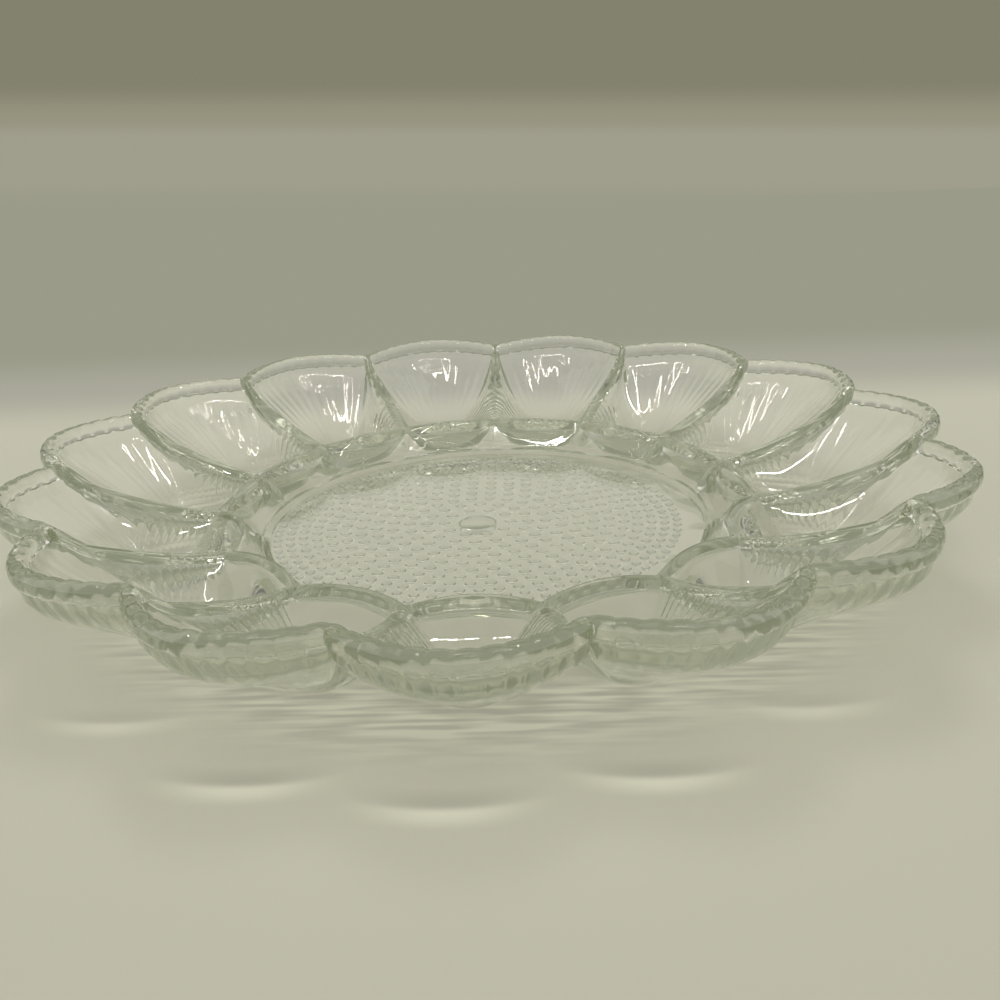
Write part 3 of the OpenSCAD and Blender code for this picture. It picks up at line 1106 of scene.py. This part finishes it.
# %% The wall behind it
WALL = (0.352, 0.342, 0.266)
DIM = (0.305, 0.292, 0.212)
DARK = (0.227, 0.223, 0.159)
HIGH = (0.85, 0.84, 0.74)
WALL_SIZE, WALL_PLACE = (6, 2, 1), (0, 1, 1)
WALL_FLAT_FROM, WALL_FLAT_TO = -2, -1
WALL_STOPS = [(0, FAR), (0.03, WALL), (0.075, WALL), (0.1, DIM), (0.135, DARK), (0.27, DARK),
              (0.34, HIGH), (2, HIGH)]
WALL_TILT = 0.04
bpy.ops.object.select_all(action="DESELECT")
bpy.ops.mesh.primitive_plane_add(size=1, rotation=(math.pi / 2, 0, 0))
backdrop = bpy.context.active_object
backdrop.name = "backdrop"
backdrop.scale = WALL_SIZE
backdrop.location = WALL_PLACE
bpy.ops.object.transform_apply(location=True, rotation=True, scale=True)
backdrop.data.materials.append(stage_material("wall", "Z", [(0, FAR), (2, DARK)], WALL_STOPS,
                                              WALL_FLAT_FROM, WALL_FLAT_TO, tilt=WALL_TILT))
print("wall:", [round(v, 2) for v in backdrop.dimensions])

# %% [markdown]
# ## Light
#
# Glass shows less of the light on it than of the room that it mirrors and bends. An even room would
# leave it grey and shapeless, and a picture of a room would show what isn't there. So the room is
# one plain colour with three strengths: an even one that lights the table, a dim one where the
# camera sees it through the glass, which gives the hobnails their dark edges, and a bright one where
# the glass mirrors it, which gives the wells their pale sheen. The last two are only for rays that
# have met no matt surface yet, so that they don't light the table. One soft lamp above the far side
# draws the pale shadow towards the camera.

# %% The room
ROOM = 0.62
ROOM_THROUGH_GLASS = 0.12
ROOM_MIRRORED = 1.42
ROOM_COLOUR = (1, 0.98, 0.94)
room = bpy.data.worlds.new("room")
bpy.context.scene.world = room
room.use_nodes = True
tree = room.node_tree
background = tree.nodes["Background"]
background.inputs["Color"].default_value = (*ROOM_COLOUR, 1)
ray = node_of(tree, "LightPath").outputs
# A ray has come straight from the lens if it has met no matt surface, only glass.
from_lens = math_of(tree, "LESS_THAN", ray["Diffuse Depth"], 0.5)
seen_through = math_of(tree, "MULTIPLY", ray["Is Transmission Ray"], from_lens)
only_glossy = math_of(tree, "SUBTRACT", ray["Is Glossy Ray"], ray["Is Transmission Ray"], clamp=True)
mirrored = math_of(tree, "MULTIPLY", only_glossy, from_lens)
strength = math_of(tree, "MULTIPLY_ADD", seen_through, ROOM_THROUGH_GLASS - ROOM, ROOM)
strength = math_of(tree, "MULTIPLY_ADD", mirrored, ROOM_MIRRORED - ROOM, strength)
tree.links.new(strength, background.inputs["Strength"])
print("room:", ROOM, "through glass:", ROOM_THROUGH_GLASS, "mirrored:", ROOM_MIRRORED)

# %% The lamp
LAMP_PLACE = Vector((0, 0.75, 1.4))
LAMP_SIZE = 0.5
LAMP_POWER = 11.5
lamp_data = bpy.data.lights.new("ceiling_light", "AREA")
lamp_data.shape = "RECTANGLE"
lamp_data.size = lamp_data.size_y = LAMP_SIZE
lamp_data.energy = LAMP_POWER
lamp = bpy.data.objects.new("ceiling_light", lamp_data)
bpy.context.collection.objects.link(lamp)
lamp.location = LAMP_PLACE
lamp.rotation_euler = (-LAMP_PLACE).to_track_quat("-Z", "Y").to_euler()
# The lamp is hidden from the glass, where its square would show as one more bright shape.
lamp.visible_glossy = False
lamp.visible_transmission = False
print("the lamp hangs", round(math.degrees(math.atan2(LAMP_PLACE.z, LAMP_PLACE.y))), "degrees up")

# %% [markdown]
# ## A string of small lights
#
# The wells mirror bright curls of small round lights from above. One bright ring would give smooth
# bands instead, so 120 small discs hang in a rounded oblong. Each could be a lamp, but then it
# would light the table too. As a glowing mesh that matt surfaces don't see, the string adds sparkle
# to the glass and leaves the table alone.

# %% The string of lights
LEDS = 120
LED_R = 0.014
LED_LOOP = (1.26, 0.8)
LED_CENTRE = Vector((0.1, -0.3, 1.6))
CORNER_POWER = 0.6


def led_place(step):
    """Where a light hangs on the rounded oblong."""
    angle = math.tau * step / LEDS
    c, s = math.cos(angle), math.sin(angle)
    x = LED_LOOP[0] / 2 * math.copysign(abs(c) ** CORNER_POWER, c)
    y = LED_LOOP[1] / 2 * math.copysign(abs(s) ** CORNER_POWER, s)
    return LED_CENTRE + Vector((x, y, 0))


bpy.ops.object.select_all(action="DESELECT")
bpy.ops.mesh.primitive_circle_add(vertices=10, radius=LED_R, fill_type="NGON", location=led_place(0))
led = bpy.context.active_object
led.name = "led_loop"
bpy.ops.object.transform_apply(location=True, rotation=False, scale=False)
bpy.ops.object.mode_set(mode="EDIT")
for step in range(1, LEDS):
    bpy.ops.mesh.select_all(action="DESELECT")
    bpy.ops.mesh.primitive_circle_add(vertices=10, radius=LED_R, fill_type="NGON",
                                      location=led_place(step))
bpy.ops.object.mode_set(mode="OBJECT")
print(len(led.data.polygons), "lights")

# %% Make the string glow, without lighting the table
LED_COLOUR = (1, 0.97, 0.9)
LED_STRENGTH = 90
shine = bpy.data.materials.new("led")
shine.use_nodes = True
shader = shine.node_tree.nodes["Principled BSDF"]
shader.inputs["Base Color"].default_value = (0, 0, 0, 1)
shader.inputs["Emission Color"].default_value = (*LED_COLOUR, 1)
shader.inputs["Emission Strength"].default_value = LED_STRENGTH
# No light is sought from the string: it shows only where a ray off or through the glass meets it.
shine.cycles.emission_sampling = "NONE"
led.data.materials.append(shine)
led.visible_diffuse = False
led.visible_shadow = False
print("the string's strength is", LED_STRENGTH)

# %% [markdown]
# ## Camera
#
# The camera stands low and close, where the photograph was taken. A camera that tracks the platter
# would centre it, but in the photograph it is a little off centre and slightly tilted. So the camera
# first faces a point on the platter's axis, just under the rim, and is then given its small yaw,
# pitch and roll.

# %% Place the camera
LENS_ELEVATION = math.radians(17.336)
LENS_AZIMUTH = math.radians(3.13)
LENS_DISTANCE = 0.3376
YAW, PITCH, ROLL = (math.radians(v) for v in (0.722, -3.091, -2.81))
AIM_DROP = 0.0024
LENS_MM, SENSOR_MM = 40.17, 36
camera_data = bpy.data.cameras.new("camera")
camera_data.lens = LENS_MM
camera_data.sensor_width = SENSOR_MM
camera_data.clip_start = 0.01
camera = bpy.data.objects.new("camera", camera_data)
bpy.context.collection.objects.link(camera)
back = Vector((0, -math.cos(LENS_ELEVATION), math.sin(LENS_ELEVATION)))
back = Matrix.Rotation(LENS_AZIMUTH, 3, "Z") @ back
facing = back.to_track_quat("Z", "Y").to_matrix()
facing = facing @ Matrix.Rotation(-YAW, 3, "Y") @ Matrix.Rotation(PITCH, 3, "X")
facing = facing @ Matrix.Rotation(ROLL, 3, "Z")
lens_place = back * LENS_DISTANCE + Vector((0, 0, RIM_Z - AIM_DROP))
camera.matrix_world = Matrix.Translation(lens_place) @ facing.to_4x4()
bpy.context.scene.camera = camera
bpy.context.scene.view_settings.view_transform = "Standard"
print("the lens is at", [round(v, 3) for v in lens_place])
